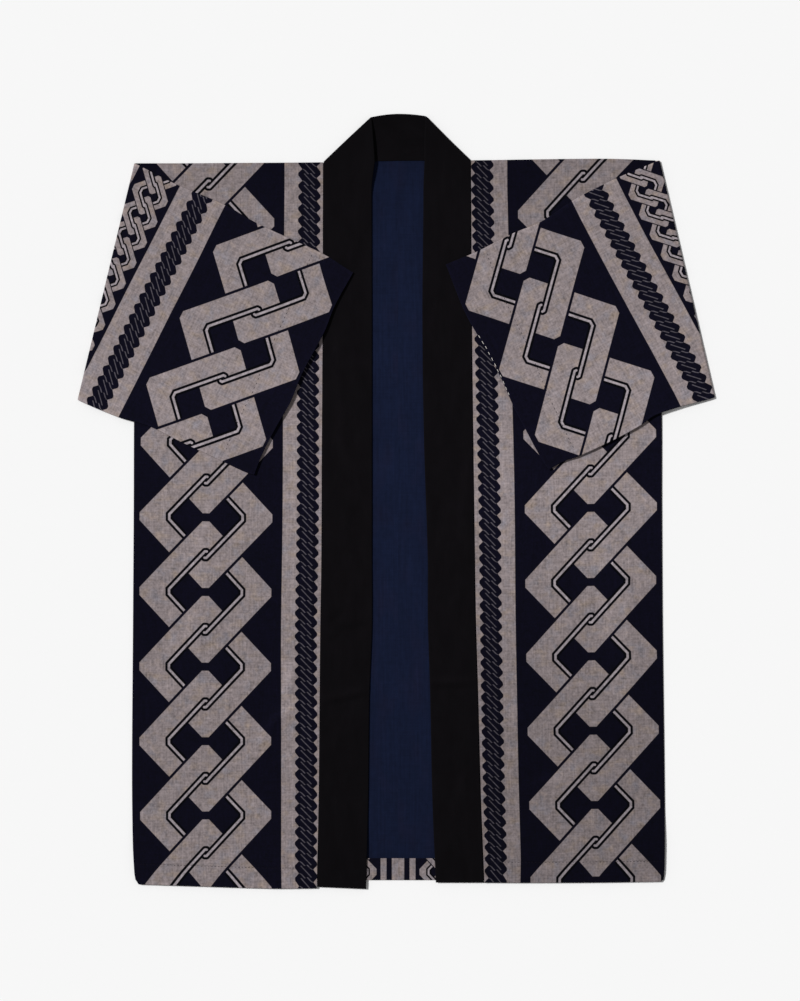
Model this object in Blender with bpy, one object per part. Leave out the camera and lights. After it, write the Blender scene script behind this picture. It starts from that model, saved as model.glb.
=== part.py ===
"""A happi coat laid face up on a flat surface, with both sleeves folded in over the fronts.

Metres, +Z up. The coat lies on z = 0 with its collar towards +Y. Left and right are as seen from above.
It is made from five cut pieces, each one solid: two body panels that run from the back hem over the
shoulder to the front hem, two tube sleeves and one long collar band. Each is laid out as flat cloth
first and then folded, hem by hem and layer over layer, the way the real coat is put away.

While the pieces are laid out, x = 0 is the centre back seam and y = 0 the left shoulder line. At the
end everything is moved so that the origin is under the middle of the coat.
"""

import math
from collections import namedtuple

import bmesh
import bpy

# Cloth and layers
CLOTH = 0.0010  # one layer
AIR = 0.0004  # between layers that lie on each other
SEAM = 0.0003  # between pieces at a seam
LAYER = CLOTH + AIR  # rise from one layer to the next
FOLD_HEIGHT = CLOTH + AIR / 2  # middle of the gap when one layer is folded on itself

# Body panels, each half of the coat's width
BACK_LENGTH = 0.867  # shoulder to back hem
FRONT_LENGTH = 0.873  # shoulder to front hem
BACK_TURN_UP = 0.0265
FRONT_TURN_UP = 0.0250
HEM_RAMP_START = 0.780  # down the front, where it climbs on to the turned hems
HEM_RAMP_END = 0.832
HEM_STACK = 2 * LAYER  # the back and front turn-ups under the front
NECK_HALF = 0.0895  # half of the neckline, which is cut straight across

# Collar band
COLLAR_WIDTH = 0.0586
COLLAR_CLOTH = 0.0020  # the strip is doubled, so it is twice as thick
COLLAR_FOLD_HEIGHT = COLLAR_CLOTH + AIR / 2
BACK_NECK_HEIGHT = 0.0560  # what stands above the neckline at centre back
NECK_SHIFT = -0.0012  # the neck lies a little left of the centre back seam
NECK_DROP_LENGTH = 0.035  # where the legs come down from the neck band on to the back
COLLAR_NECK_DROP = COLLAR_FOLD_HEIGHT * 2 - COLLAR_CLOTH - LAYER
COLLAR_HEM_RISE = 0.0018

# Sleeves, each folded over the front along a slanting line from the shoulder tip
SLEEVE_FOLD_HEIGHT = 2 * LAYER - AIR / 2
SLEEVE_BEND = SLEEVE_FOLD_HEIGHT - FOLD_HEIGHT
COLLAR_STEP = 0.0012  # rise of a folded sleeve where it climbs on to the collar
COLLAR_STEP_START = 0.152  # from the centre
COLLAR_STEP_END = 0.106

# How finely each form is divided: counts, and distances down from the shoulder
BEND_STEPS = 5
SLEEVE_BEND_STEPS = 7
SLEEVE_COLUMNS = 10
SLEEVE_WALL_STEPS = 10
PANEL_COLUMNS = 5
BACK_STATIONS = (0.82, 0.74, 0.56, 0.42, 0.285, 0.14)
FRONT_STATIONS = (0.05, 0.10, 0.19, 0.285, 0.38, 0.47, 0.56, 0.64, 0.71, 0.77)
HEM_RAMP_STEPS = 5
HEM_STATION = 0.018  # from the front hem's fold
NECK_SHARES = (0.0, 0.3, 0.65)  # of half the neck, out from the centre back
MITRE_STATIONS = (0.012, 0.026, 0.042, 0.060, 0.085)  # down from the mitre, as the stations turn square
LEG_STATIONS = (0.14, 0.19, 0.26, 0.335, 0.41, 0.48, 0.555, 0.64, 0.71, 0.77, 0.795, 0.82, 0.845)

Sides = namedtuple("Sides", "at left right")
Collar = namedtuple("Collar", "down left_seam left_free right_seam right_free")
SleeveEdge = namedtuple("SleeveEdge", "out top bottom")
Cuff = namedtuple("Cuff", "share out")
SleeveLift = namedtuple("SleeveLift", "share top_edge middle bottom_edge")
Sleeve = namedtuple("Sleeve", "tip_x tip_y fold_slope armhole_depth edges cuff lift mouth")

# Side edges, out from the centre, by distance down from the shoulder
SIDE_EDGES = [
    Sides(0.000, 0.3144, 0.3113),
    Sides(0.285, 0.3191, 0.3188),
    Sides(0.420, 0.3197, 0.3192),
    Sides(0.560, 0.3206, 0.3200),
    Sides(0.740, 0.3218, 0.3222),
    Sides(0.820, 0.3208, 0.3228),
    Sides(0.856, 0.3198, 0.3226),
    Sides(0.880, 0.3172, 0.3214),
]
# Height of the shoulder line, by distance out from the centre
SHOULDER_RISE = [
    Sides(0.000, 0.0030, 0.0030),
    Sides(0.090, 0.0012, 0.0036),
    Sides(0.200, 0.0004, 0.0052),
    Sides(0.260, 0.0000, 0.0054),
    Sides(0.320, 0.0000, 0.0030),
]
SHOULDER_RISE_FADE = 0.30
# Drop of the front hem, by share of the panel's width from the side edge
FRONT_HEM_DROP = [
    Sides(0.00, -0.0010, -0.0044),
    Sides(0.35, 0.0014, -0.0034),
    Sides(0.75, 0.0040, -0.0030),
    Sides(1.00, 0.0036, -0.0032),
]
# Edges of the two collar legs, out from the centre, by distance down from the shoulder
COLLAR_LEGS = [
    Collar(0.000, 0.0907, 0.0321, 0.0883, 0.0297),
    Collar(0.190, 0.0912, 0.0315, 0.0895, 0.0284),
    Collar(0.335, 0.0921, 0.0315, 0.0912, 0.0303),
    Collar(0.480, 0.0928, 0.0315, 0.0932, 0.0345),
    Collar(0.555, 0.0940, 0.0318, 0.0944, 0.0354),
    Collar(0.640, 0.0948, 0.0352, 0.0969, 0.0380),
    Collar(0.770, 0.0961, 0.0363, 0.1004, 0.0409),
    Collar(0.880, 0.0984, 0.0384, 0.1047, 0.0436),
]
COLLAR_LEG_LENGTH = Sides(0, 0.876, 0.870)

SLEEVE_LEFT = Sleeve(
    tip_x=0.3188,
    tip_y=0.0,
    fold_slope=0.2400,
    armhole_depth=0.2845,
    edges=[
        SleeveEdge(-0.006, 0.0000, 0.2845),
        SleeveEdge(0.056, 0.0000, 0.2868),
        SleeveEdge(0.120, -0.0045, 0.2828),
        SleeveEdge(0.160, -0.0024, 0.2755),
        SleeveEdge(0.206, -0.0037, 0.2728),
        SleeveEdge(0.254, -0.0055, 0.2696),
        SleeveEdge(0.304, -0.0033, 0.2680),
    ],
    cuff=[Cuff(0.00, 0.2950), Cuff(0.17, 0.2936), Cuff(0.29, 0.2966), Cuff(0.50, 0.2958),
          Cuff(0.65, 0.2998), Cuff(0.85, 0.3006), Cuff(1.00, 0.3032)],
    lift=[
        SleeveLift(0.0, 0.0000, 0.0000, 0.0000),
        SleeveLift(0.4, 0.0006, 0.0003, 0.0010),
        SleeveLift(0.7, 0.0010, 0.0000, 0.0014),
        SleeveLift(1.0, 0.0004, 0.0008, 0.0022),
    ],
    mouth=0.0026,
)
SLEEVE_RIGHT = Sleeve(
    tip_x=0.3166,
    tip_y=0.0030,
    fold_slope=0.2330,
    armhole_depth=0.2872,
    edges=[
        SleeveEdge(-0.006, 0.0000, 0.2872),
        SleeveEdge(0.055, -0.0038, 0.2878),
        SleeveEdge(0.112, -0.0034, 0.2775),
        SleeveEdge(0.142, 0.0006, 0.2738),
        SleeveEdge(0.162, 0.0030, 0.2770),
        SleeveEdge(0.197, 0.0006, 0.2784),
        SleeveEdge(0.245, 0.0012, 0.2775),
        SleeveEdge(0.290, -0.0018, 0.2718),
    ],
    cuff=[Cuff(0.00, 0.2870), Cuff(0.17, 0.2910), Cuff(0.28, 0.2904), Cuff(0.42, 0.2868),
          Cuff(0.67, 0.2870), Cuff(0.92, 0.2882), Cuff(1.00, 0.2846)],
    lift=[
        SleeveLift(0.0, 0.0000, 0.0000, 0.0000),
        SleeveLift(0.3, 0.0004, 0.0006, 0.0030),
        SleeveLift(0.7, 0.0012, 0.0000, 0.0034),
        SleeveLift(1.0, 0.0006, 0.0010, 0.0016),
    ],
    mouth=0.0030,
)

NAVY_CLOTH = (0.010, 0.010, 0.020, 1.0)
BLACK_CLOTH = (0.007, 0.006, 0.007, 1.0)


def between(low, high, share):
    return low + (high - low) * share


def ease(share):
    """0 to 1 with no sudden start or stop."""
    share = min(max(share, 0.0), 1.0)
    return share * share * (3 - 2 * share)


def value(rows, at, column):
    """A column of a table at one distance, on a smooth curve through its rows."""
    keys = [row[0] for row in rows]
    points = [getattr(row, column) for row in rows]
    at = min(max(at, keys[0]), keys[-1])
    low = max(i for i in range(len(rows) - 1) if keys[i] <= at)

    def slope(i):
        before, after = max(i - 1, 0), min(i + 1, len(rows) - 1)
        return (points[after] - points[before]) / (keys[after] - keys[before])

    span = keys[low + 1] - keys[low]
    t = (at - keys[low]) / span
    return (
        (1 + 2 * t) * (1 - t) ** 2 * points[low]
        + t * (1 - t) ** 2 * span * slope(low)
        + t * t * (3 - 2 * t) * points[low + 1]
        + t * t * (t - 1) * span * slope(low + 1)
    )


def fold_over(out, z, height, bend):
    """Where a point goes when the cloth beyond a line is folded back over the top.

    out is the distance past the line, height the middle of the bend and bend its radius.
    """
    arc = math.pi * bend
    if out <= 0:
        return out, z
    if out < arc:
        radius = height - z
        angle = out / bend
        return radius * math.sin(angle), height - radius * math.cos(angle)
    return arc - out, 2 * height - z


def steps(start, end, count):
    """Stations from start to end, with both ends."""
    return [between(start, end, i / count) for i in range(count + 1)]


def material(name, colour, roughness):
    made = bpy.data.materials.new(name)
    made.use_nodes = True
    shader = made.node_tree.nodes["Principled BSDF"]
    shader.inputs["Base Color"].default_value = colour
    shader.inputs["Roughness"].default_value = roughness
    shader.inputs["Metallic"].default_value = 0.0
    return made


def wall(name, rows, columns, place, colour, wrap=False, present=None):
    """A closed wall of cloth over a grid of rows and columns.

    place(row, column, face) gives a point, face 0 on one face of the cloth and 1 on the other. wrap
    joins the last column to the first, as in a tube, and present(row, column) says which cells exist.
    """
    mesh = bpy.data.meshes.new(name)
    build = bmesh.new()
    points = {}

    def point(i, j, face):
        key = (i, j % columns if wrap else j, face)
        if key not in points:
            points[key] = build.verts.new(place(*key))
        return points[key]

    def has(i, j):
        if not 0 <= i < rows - 1:
            return False
        if wrap:
            j %= columns
        elif not 0 <= j < columns - 1:
            return False
        return present is None or present(i, j)

    for i in range(rows - 1):
        for j in range(columns if wrap else columns - 1):
            if not has(i, j):
                continue
            ring = [(i, j), (i, j + 1), (i + 1, j + 1), (i + 1, j)]
            build.faces.new([point(*corner, 0) for corner in ring])
            build.faces.new([point(*corner, 1) for corner in reversed(ring)])
            beyond = [has(i - 1, j), has(i, j + 1), has(i + 1, j), has(i, j - 1)]
            for side, neighbour in enumerate(beyond):
                if not neighbour:
                    a, b = ring[side], ring[(side + 1) % 4]
                    build.faces.new([point(*b, 0), point(*a, 0), point(*a, 1), point(*b, 1)])
    bmesh.ops.recalc_face_normals(build, faces=build.faces)
    build.to_mesh(mesh)
    build.free()
    mesh.shade_smooth()
    mesh.set_sharp_from_angle(angle=math.radians(40))
    mesh.materials.append(material(name + "_cloth", colour, 0.85))
    made = bpy.data.objects.new(name, mesh)
    bpy.context.scene.collection.objects.link(made)
    return made


def shoulder_rise(x, side, down):
    """Height of the shoulder line above y = 0, fading out down the body."""
    return value(SHOULDER_RISE, abs(x), side) * (1 - ease(down / SHOULDER_RISE_FADE))


def body_panel(side):
    """One body panel: back hem, back, over the shoulder, front, front hem."""
    sign = -1 if side == "left" else 1
    bend = FOLD_HEIGHT - CLOTH / 2
    arc = math.pi * bend
    back_fold = -(BACK_LENGTH - FOLD_HEIGHT)
    shoulder = -FOLD_HEIGHT
    front_fold = FRONT_LENGTH + arc - 3 * FOLD_HEIGHT

    def on_front(down):
        return arc + shoulder + down + shoulder

    lengthwise = (
        [back_fold - arc - BACK_TURN_UP + FOLD_HEIGHT]
        + [back_fold - arc * i / BEND_STEPS for i in range(BEND_STEPS, 0, -1)]
        + [back_fold]
        + [-down for down in BACK_STATIONS]
        + [shoulder + arc * i / BEND_STEPS for i in range(BEND_STEPS + 1)]
        + [on_front(down) for down in FRONT_STATIONS]
        + [on_front(down) for down in steps(HEM_RAMP_START, HEM_RAMP_END, HEM_RAMP_STEPS)]
        + [front_fold - HEM_STATION]
        + [front_fold + arc * i / BEND_STEPS for i in range(BEND_STEPS + 1)]
        + [front_fold + arc + FRONT_TURN_UP - FOLD_HEIGHT]
    )
    shoulder_row = lengthwise.index(shoulder)
    across = steps(0.0, 1.0, PANEL_COLUMNS) + [1.5, 2.0]  # 0 to 1 to the neck, 1 to 2 to the centre

    def place(i, j, face):
        along, z = lengthwise[i], face * CLOTH
        past, z = fold_over(along - front_fold, z, FOLD_HEIGHT, bend)
        along = front_fold + past
        past, z = fold_over(back_fold - along, z, FOLD_HEIGHT, bend)
        along = back_fold - past
        past, z = fold_over(along - shoulder, z, FOLD_HEIGHT, bend)
        y = shoulder + past
        front = i > shoulder_row
        down = -y
        edge = value(SIDE_EDGES, down, side)
        inner = value(COLLAR_LEGS, down if front else 0.0, side + "_seam")
        share = across[j]
        if share <= 1:
            x = between(edge, inner, share)
        else:
            x = between(inner, SEAM / 2, share - 1)
        if front:
            z += HEM_STACK * ease((down - HEM_RAMP_START) / (HEM_RAMP_END - HEM_RAMP_START))
            y -= value(FRONT_HEM_DROP, share, side) * ease(down / FRONT_LENGTH)
        y += shoulder_rise(x, side, down)
        return sign * x, y, z

    return wall(
        "body_" + side,
        len(lengthwise),
        len(across),
        place,
        NAVY_CLOTH,
        present=lambda i, j: i < shoulder_row or j < PANEL_COLUMNS,
    )


def sleeve_tube(side, cut):
    """One sleeve: a flat tube, folded on a slant from the shoulder tip back over the front."""
    sign = -1 if side == "left" else 1
    length = math.hypot(1, cut.fold_slope)
    across_fold = (1 / length, -cut.fold_slope / length)  # square to the fold, pointing out
    inset = SLEEVE_FOLD_HEIGHT * length
    arc = math.pi * SLEEVE_BEND

    def edge_point(edge, start):
        """Where a line along the fold, starting at this distance out, meets the top or bottom edge."""
        out = start
        for _ in range(8):
            out = start + cut.fold_slope * value(cut.edges, out, edge)
        return out, value(cut.edges, out, edge)

    def column(top_out, bottom_out, toward_cuff=None):
        top = (top_out, value(cut.edges, top_out, "top"))
        bottom = (bottom_out, value(cut.edges, bottom_out, "bottom"))
        return top, bottom, toward_cuff

    def fold_column(past):
        start = past * length - inset
        return edge_point("top", start), edge_point("bottom", start), None

    def armhole_out(down):
        return value(SIDE_EDGES, down, side) + SEAM - cut.tip_x

    armhole = column(armhole_out(0.0), armhole_out(cut.armhole_depth))
    fold_start = fold_column(0.0)
    fold_end = fold_column(arc)
    columns = [armhole]
    columns.append(column(
        between(armhole[0][0], fold_start[0][0], 0.5), between(armhole[1][0], fold_start[1][0], 0.5)
    ))
    columns += [fold_column(arc * i / SLEEVE_BEND_STEPS) for i in range(SLEEVE_BEND_STEPS + 1)]
    cuff_top, cuff_bottom = cut.cuff[0].out, cut.cuff[-1].out
    for toward_cuff in steps(0.0, 1.0, SLEEVE_COLUMNS)[1:]:
        columns.append(column(
            between(fold_end[0][0], cuff_top, toward_cuff),
            between(fold_end[1][0], cuff_bottom, toward_cuff),
            toward_cuff,
        ))

    # The section of the flat tube: the under wall, the bend along the bottom edge, the upper wall and
    # the bend along the top edge, as (share down the wall, angle round the bend).
    walls = steps(0.0, 1.0, SLEEVE_WALL_STEPS)
    turns = (-45, 0, 45)
    section = (
        [(share, -90) for share in walls]
        + [(1.0, turn) for turn in turns]
        + [(share, 90) for share in reversed(walls)]
        + [(0.0, turn) for turn in reversed(turns)]
    )

    def place(i, j, face):
        top, bottom, toward_cuff = columns[i]
        share, turn = section[j]
        radius = FOLD_HEIGHT if face == 0 else AIR / 2
        width = math.dist(top, bottom)
        beside = math.cos(math.radians(turn)) * radius * (1 if share == 1.0 else -1)
        at = (FOLD_HEIGHT + share * (width - 2 * FOLD_HEIGHT) + beside) / width
        out, down = between(top[0], bottom[0], at), between(top[1], bottom[1], at)
        z = FOLD_HEIGHT + math.sin(math.radians(turn)) * radius
        if i == 0:
            out = armhole_out(down)
        if toward_cuff:
            straight = between(cuff_top, cuff_bottom, share)
            out += (value(cut.cuff, share, "out") - straight) * toward_cuff**2
        past = (out - cut.fold_slope * down + inset) / length
        moved, z = fold_over(past, z, SLEEVE_FOLD_HEIGHT, SLEEVE_BEND)
        out += (moved - past) * across_fold[0]
        down += (moved - past) * across_fold[1]
        x, y = cut.tip_x + out, cut.tip_y - down
        if toward_cuff:
            z += sleeve_lift(cut, toward_cuff, share, x, turn)
        return sign * x, y, z

    return wall("sleeve_" + side, len(columns), len(section), place, NAVY_CLOTH, wrap=True)


def sleeve_lift(cut, toward_cuff, share, x, turn):
    """How far a point of a folded sleeve stands above where it would lie flat."""
    edges = between(
        value(cut.lift, toward_cuff, "top_edge"), value(cut.lift, toward_cuff, "bottom_edge"), share
    )
    crown = math.sin(math.pi * share)
    lift = between(edges, value(cut.lift, toward_cuff, "middle"), crown)
    lift += COLLAR_STEP * ease((COLLAR_STEP_START - x) / (COLLAR_STEP_START - COLLAR_STEP_END))
    upper_wall = (1 - math.sin(math.radians(turn))) / 2
    return lift + cut.mouth * toward_cuff**3 * crown * upper_wall


def collar_band():
    """The collar: one strip up the left front edge, round the back neck and down the right front edge."""
    bend = COLLAR_FOLD_HEIGHT - COLLAR_CLOTH / 2
    arc = math.pi * bend
    root_two = math.sqrt(2)
    inset = COLLAR_FOLD_HEIGHT * root_two
    reach = (arc / 2 - COLLAR_FOLD_HEIGHT) * root_two * 2  # cloth taken up by the bend

    # Half of the strip's stations, from the centre back to a hem, as the distance along the seam edge
    # and along the free edge. They slant to lie along the mitre fold.
    half = [(NECK_HALF * share, (NECK_HALF - COLLAR_WIDTH) * share) for share in NECK_SHARES]
    for i in range(BEND_STEPS + 1):
        seam = NECK_HALF - inset + arc * root_two * i / BEND_STEPS
        half.append((seam, seam - COLLAR_WIDTH))
    for down in MITRE_STATIONS + LEG_STATIONS + (FRONT_LENGTH,):
        slant = 1 - ease(down / MITRE_STATIONS[-1])
        half.append((NECK_HALF + reach + down, NECK_HALF + reach + down - COLLAR_WIDTH * slant))
    stations = [(-1, pair) for pair in reversed(half[1:])] + [(1, pair) for pair in half]
    shares = steps(0.0, 1.0, 3)

    def place(i, j, face):
        sign, (seam, free) = stations[i]
        side = "left" if sign < 0 else "right"
        share = shares[j]
        x, y, z = between(seam, free, share), COLLAR_WIDTH * share, face * COLLAR_CLOTH
        past = (x + y - NECK_HALF + inset) / root_two
        moved, z = fold_over(past, z, COLLAR_FOLD_HEIGHT, bend)
        x += (moved - past) / root_two
        y += (moved - past) / root_two
        if past > arc / 2:
            x, y, z = leg_place(side, x, y, z)
        else:
            x += sign * NECK_SHIFT
        if y > 0:
            y *= BACK_NECK_HEIGHT / COLLAR_WIDTH
        y += shoulder_rise(x, side, -y)
        return sign * x, y, z

    def leg_place(side, x, y, z):
        down = max(-y, 0.0)
        share = (NECK_HALF - x) / COLLAR_WIDTH
        seam = value(COLLAR_LEGS, down, side + "_seam") - SEAM
        free = value(COLLAR_LEGS, down, side + "_free")
        z -= COLLAR_NECK_DROP * ease(down / NECK_DROP_LENGTH)
        z += COLLAR_HEM_RISE * ease((down - HEM_RAMP_START) / (HEM_RAMP_END - HEM_RAMP_START))
        if y < 0:
            y *= between(1, getattr(COLLAR_LEG_LENGTH, side) / FRONT_LENGTH, ease(down / FRONT_LENGTH))
        return between(seam, free, share), y, z

    return wall("collar", len(stations), len(shares), place, BLACK_CLOTH)


def centre_on_origin(pieces):
    """Moves the meshes so that the origin is under the middle of the coat, on the surface it lies on."""
    points = [vertex.co for piece in pieces for vertex in piece.data.vertices]
    low = [min(point[axis] for point in points) for axis in range(3)]
    high = [max(point[axis] for point in points) for axis in range(3)]
    middle = ((low[0] + high[0]) / 2, (low[1] + high[1]) / 2, low[2])
    for piece in pieces:
        for vertex in piece.data.vertices:
            for axis in range(3):
                vertex.co[axis] -= middle[axis]


def main():
    for old in list(bpy.data.objects):
        bpy.data.objects.remove(old)
    pieces = [
        body_panel("left"),
        body_panel("right"),
        collar_band(),
        sleeve_tube("left", SLEEVE_LEFT),
        sleeve_tube("right", SLEEVE_RIGHT),
    ]
    centre_on_origin(pieces)


main()
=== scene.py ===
"""Looks of a happi coat that lies face up with both sleeves folded in over the fronts.

Metres, in the frame's axes. Each piece of cloth is laid out flat, with x = 0 at the centre back seam and
y = 0 at the left shoulder line, and folded as its solid is. It keeps the place of every point on the flat
cut as a UV map in metres, and the print is worked out from that map, so it runs on round every fold.
Left and right are as seen from above.
"""

import math
from collections import namedtuple
from functools import partialmethod, reduce

import bpy
import numpy as np
from mathutils import Matrix, Vector

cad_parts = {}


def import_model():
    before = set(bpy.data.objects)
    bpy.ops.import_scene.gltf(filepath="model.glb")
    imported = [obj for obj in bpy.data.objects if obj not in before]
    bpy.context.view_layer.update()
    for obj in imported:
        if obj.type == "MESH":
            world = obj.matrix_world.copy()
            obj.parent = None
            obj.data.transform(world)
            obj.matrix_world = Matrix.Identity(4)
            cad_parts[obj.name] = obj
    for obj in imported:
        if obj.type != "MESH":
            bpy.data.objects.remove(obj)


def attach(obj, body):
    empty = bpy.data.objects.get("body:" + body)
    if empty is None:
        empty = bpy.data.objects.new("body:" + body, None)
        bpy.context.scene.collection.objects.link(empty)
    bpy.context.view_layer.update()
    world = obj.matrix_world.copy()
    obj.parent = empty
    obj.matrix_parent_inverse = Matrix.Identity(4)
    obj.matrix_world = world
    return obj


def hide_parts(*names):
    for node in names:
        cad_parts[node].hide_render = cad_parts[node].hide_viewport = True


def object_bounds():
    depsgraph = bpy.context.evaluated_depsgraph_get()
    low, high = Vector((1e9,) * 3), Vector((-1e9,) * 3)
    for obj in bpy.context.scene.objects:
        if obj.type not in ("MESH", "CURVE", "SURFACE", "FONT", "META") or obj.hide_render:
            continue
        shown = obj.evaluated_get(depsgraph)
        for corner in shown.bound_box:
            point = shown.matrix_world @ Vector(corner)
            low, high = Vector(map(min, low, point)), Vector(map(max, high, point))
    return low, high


CUT_MAP = "cut"
# Name of the point attribute with painted light and shade and edge wear, which scales the cloth's colour
LIGHT_AND_WEAR_ATTRIBUTE = "tone"
SHARP_ANGLE = 50

# Cloth and layers, as in the solids
CLOTH = 0.0010  # room for one layer
AIR = 0.0004
SEAM = 0.0003
LAYER = CLOTH + AIR
FOLD_HEIGHT = CLOTH + AIR / 2
SHELL = 0.0007  # what the cloth itself takes of its layer

# Body panels
BACK_LENGTH = 0.867
FRONT_LENGTH = 0.873
BACK_TURN_UP = 0.0265
FRONT_TURN_UP = 0.0250
HEM_RAMP = (0.780, 0.832)  # from and to, down the coat, where the front rises onto the turned-up hems
HEM_STACK = 2 * LAYER
NECK_HALF = 0.0895
PANEL_BEND = FOLD_HEIGHT - CLOTH / 2
PANEL_ARC = math.pi * PANEL_BEND
BACK_FOLD = -(BACK_LENGTH - FOLD_HEIGHT)
SHOULDER = -FOLD_HEIGHT
FRONT_FOLD = FRONT_LENGTH + PANEL_ARC - 3 * FOLD_HEIGHT
FRONT_START = PANEL_ARC + 2 * SHOULDER  # add a distance down the front to get the place along the panel

# Collar band
COLLAR_WIDTH = 0.0586
COLLAR_CLOTH = 0.0020
COLLAR_FOLD_HEIGHT = COLLAR_CLOTH + AIR / 2
COLLAR_BEND = COLLAR_FOLD_HEIGHT - COLLAR_CLOTH / 2
COLLAR_ARC = math.pi * COLLAR_BEND
BACK_NECK_HEIGHT = 0.0560
NECK_SHIFT = -0.0012
NECK_DROP_LENGTH = 0.035
COLLAR_NECK_DROP = COLLAR_FOLD_HEIGHT * 2 - COLLAR_CLOTH - LAYER
COLLAR_HEM_RISE = 0.0018
COLLAR_LEG_START = 0.008
COLLAR_ROUND = 0.0012  # how far in its edges are rounded
COLLAR_EDGE_SHARE = 0.15  # what is left of its thickness at its very edge
MITRE_END = 0.085
ROOT_TWO = math.sqrt(2)

# Sleeves
SLEEVE_FOLD_HEIGHT = 2 * LAYER - AIR / 2
SLEEVE_BEND = SLEEVE_FOLD_HEIGHT - FOLD_HEIGHT
COLLAR_STEP = 0.0012  # how far they rise onto the collar
COLLAR_STEP_OUT = (0.152, 0.106)  # from and to

# Stitches: how long each is, from one to the next, how thick, and how far the thread stands out
Stitch = namedtuple("Stitch", "length pitch radius proud")
HEM_STITCH = Stitch(0.0034, 0.0041, 0.00032, 0.00026)
BACK_HEM_STITCH = HEM_STITCH._replace(proud=0.00005)
CUFF_STITCH = Stitch(0.0034, 0.0058, 0.00034, 0.00028)
COLLAR_STITCH = Stitch(0.0034, 0.0047, 0.00024, 0.00018)
BASTING = Stitch(0.0056, 0.0078, 0.00042, 0.00038)
STITCH_SIDES = 6
STITCH_RISE = (-1.6, 0.6, 1.0, 1.0, 0.6, -1.6)  # of the thread's middle, in parts of how far it stands out
STITCH_WANDER = 0.00018
STITCH_UNEVEN = 0.12  # how much its length varies
STITCH_TURNS = (2.4, 1.7, 3.9)  # radians from one to the next, for its start, its length and its place
PATH_POINTS = 200
HEM_PATH = (0.012, 0.985, 1.99)  # as shares: at the side, at the collar and at the centre back
CUFF_PATH = (0.02, 0.98)
HEM_GROOVE = 0.00055
HEM_GROOVE_WIDTH = 0.0011
CUFF_BASTING = (0.335, 0.655)  # from and to, as shares down the right cuff
CUFF_BASTING_INSET = 0.0006
COLLAR_STITCH_SHARE = 0.055
COLLAR_STITCH_START = 0.02

# How finely the cloth is divided
GRID = 0.0036
BACK_GRID = 0.0060
BEND_STEPS = 8
SLEEVE_BEND_STEPS = 10
SLEEVE_ROOT_STEPS = 16
EDGE_STATIONS = (0.0, 0.0003, 0.0007, 0.0014, 0.0024)
LEG_END_STATIONS = (0.0032, 0.0039, 0.0046, 0.0053, 0.0062)
GROOVE_STATIONS = np.linspace(-2, 2, 9)  # in widths of the groove
TURN_STEP = 22.5  # degrees
PLACES = 7  # decimal places that tell one station from the next
NEARLY = 1e-6
EDGE_ROUNDS = 8  # tries to find where a slanting line meets an edge

# The print, in millimetres on the cloth. It repeats every 450 mm: 5 big links, 16 small ones and 32
# crossings of the braid. Distances across it are from the big chain's middle, towards the centre.
Chain = namedtuple(
    "Chain",
    "pitch slope reach half_width half_height line line_corner line_half groove_half gap hook_out hook_end",
)
REPEAT = 450.0
BIG_CHAIN = Chain(REPEAT / 5, 0.937, 83.8, 79.4, 85.1, 46.7, 43.9, 1.42, 4.35, 4.4, 0.9, 1.2)
SMALL_CHAIN = Chain(REPEAT / 16, 0.95, 26.2, 23.0, 26.0, 14.6, 12.0, 1.12, 3.05, 1.6, 0.3, 0.4)
SMALL_CHAIN_MIDDLE = 179.55
SMALL_CHAIN_OFFSET = 10.3  # of a small link's middle from a big link's, along the cloth
STRIPES = [(91.7, 151.9), (207.4, 214.5), (221.0, 228.8)]
BRAID_MIDDLE = 121.8
BRAID_PITCH = REPEAT / 32
BRAID_TIP = -3.85  # of a strand's left tip from a big link's middle
BRAID_TURN = -1.1  # the braid is the same turned half round: a right tip from a left one
# Half the braid's width, and how far down from a tip
BRAID_SIDE = [(13.6, 0.0), (13.4, 2.0), (8.8, 8.2), (13.4, 12.6), (13.6, BRAID_PITCH)]
# The pale lines between its strands: across and along the cloth, and half the line's width
BRAID_LONG_LINE = [(-6.2, -0.4), (-3.9, 2.3), (0.0, 6.5), (3.9, 10.6), (6.2, 13.3)]
BRAID_SHORT_LINE = [(1.3, -1.1), (5.5, 3.4), (8.0, 4.9)]
BRAID_LONG_HALF = 0.42
BRAID_SHORT_HALF = 0.50
BRAID_LINE_SQUARE = 0.7  # from a distance across to one square to a line
PRINT_EDGE = 0.5  # how far a printed edge takes to change colour
STRAND_EDGE = 0.7

# Weave, in millimetres
THREAD = 0.62
BLACK_THREAD = 0.45
THREAD_TWIST = 2600.0
SLUB_SIZE = (1.4, 40)  # in threads
SLUB_NOISE = (0.55, 1.2)  # at which a slub starts and is at its thickest
PRINTED_SLUBS = (THREAD, 3)  # the thread and a seed
INDIGO_SLUBS = (THREAD, 23)
WEAVE_HEIGHT = 0.4
SLUB_HEIGHT = 0.6
# Bumps' full height, in metres
WEAVE_DEPTH = 0.00012
BLACK_WEAVE_DEPTH = 0.00008
TWIST_DEPTH = 0.00006
# Patches of lighter, darker or crumpled cloth: their size along u and v in millimetres, seed and strength
PRINTED_MOTTLE = [
    (9, 12, 11, 0.18), (1.8, 26, 5, 0.20), (24, 1.8, 8, 0.18), (2.6, 2.6, 15, 0.27), (4.5, 6, 16, 0.20),
]
INDIGO_MOTTLE = [(2.2, 70, 31, 0.18), (40, 1.8, 35, 0.10), (30, 46, 41, 0.12), (5, 9, 43, 0.14)]
BLACK_MOTTLE = [(9, 60, 61, 0.14), (1.2, 14, 67, 0.10), (12, 16, 69, 0.12)]
CRUMPLE = [(11, 15, 27, 1.2), (5, 6, 29, 0.5)]
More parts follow.
